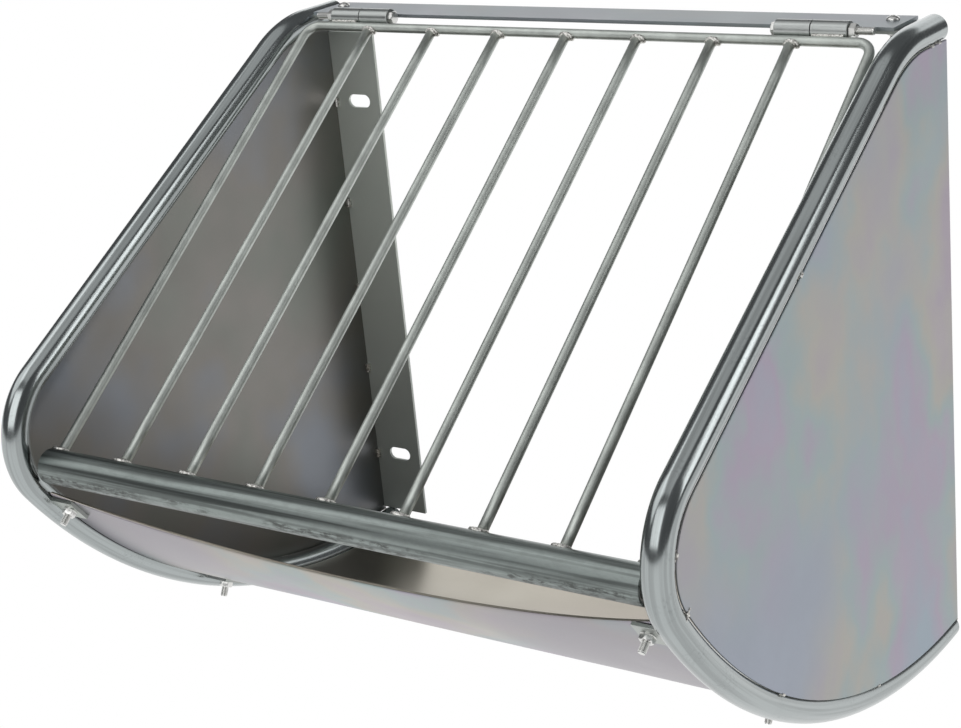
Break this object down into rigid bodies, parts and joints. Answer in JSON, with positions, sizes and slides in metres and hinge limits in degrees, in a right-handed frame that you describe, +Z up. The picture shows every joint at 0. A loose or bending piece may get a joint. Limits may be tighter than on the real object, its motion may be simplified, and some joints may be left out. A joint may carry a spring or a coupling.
{
  "type": "hay feeder box",
  "caption": "Wall-mounted metal hay feeder box: sheet ends in bent tube rims, a rolled trough and a barred grille hinged from a top strip.",
  "frame": {"origin": "centre of the four slots in the wall flanges, on the wall plane", "axes": "+X along the wall to the right as seen from the front, +Y into the wall, +Z up"},
  "size_m": [0.6, 0.466, 0.5339],
  "materials": {
    "panel_zinc": "passivated zinc sheet with a faint rainbow sheen",
    "rim_zinc": "bright smooth zinc tube",
    "plate_zinc": "satin zinc plate",
    "trough_zinc": "passivated zinc sheet, pinkish, brighter at its hem",
    "strip_zinc": "satin zinc flat bar",
    "fastener_zinc": "bright zinc fasteners",
    "knuckle_zinc": "zinc tube with weld heat marks",
    "tube_zinc": "mottled zinc tube",
    "rod_zinc": "satin drawn rod, zinc"
  },
  "bodies": {
    "frame": {"left_end_panel": "panel_zinc", "right_end_panel": "panel_zinc", "left_rim": "rim_zinc", "right_rim": "rim_zinc", "left_wall_flange": "plate_zinc", "right_wall_flange": "plate_zinc", "left_trough_lugs": "plate_zinc", "right_trough_lugs": "plate_zinc", "trough_sheet": "trough_zinc", "trough_bolts": "fastener_zinc", "trough_nuts": "fastener_zinc", "top_strip": "strip_zinc", "left_strip_bracket": "plate_zinc", "right_strip_bracket": "plate_zinc", "strip_screws": "fastener_zinc", "strip_nuts": "fastener_zinc", "left_fixed_knuckle": "knuckle_zinc", "right_fixed_knuckle": "knuckle_zinc", "hinge_bolts": "fastener_zinc", "hinge_nuts": "fastener_zinc"},
    "grille": {"left_moving_knuckle": "knuckle_zinc", "right_moving_knuckle": "knuckle_zinc", "grille_frame_rod": "rod_zinc", "grille_bar_1": "rod_zinc", "grille_bar_2": "rod_zinc", "grille_bar_3": "rod_zinc", "grille_bar_4": "rod_zinc", "grille_bar_5": "rod_zinc", "grille_bar_6": "rod_zinc", "grille_bar_7": "rod_zinc", "cross_tube": "tube_zinc", "cross_tube_plugs": "plate_zinc"}
  },
  "joints": [
    {"name": "grille_swing", "type": "hinge", "parent": "frame", "child": "grille", "pos_m": [0, -0.0528, 0.264], "axis": [-1, 0, 0], "range_deg": [0, 130]}
  ]
}
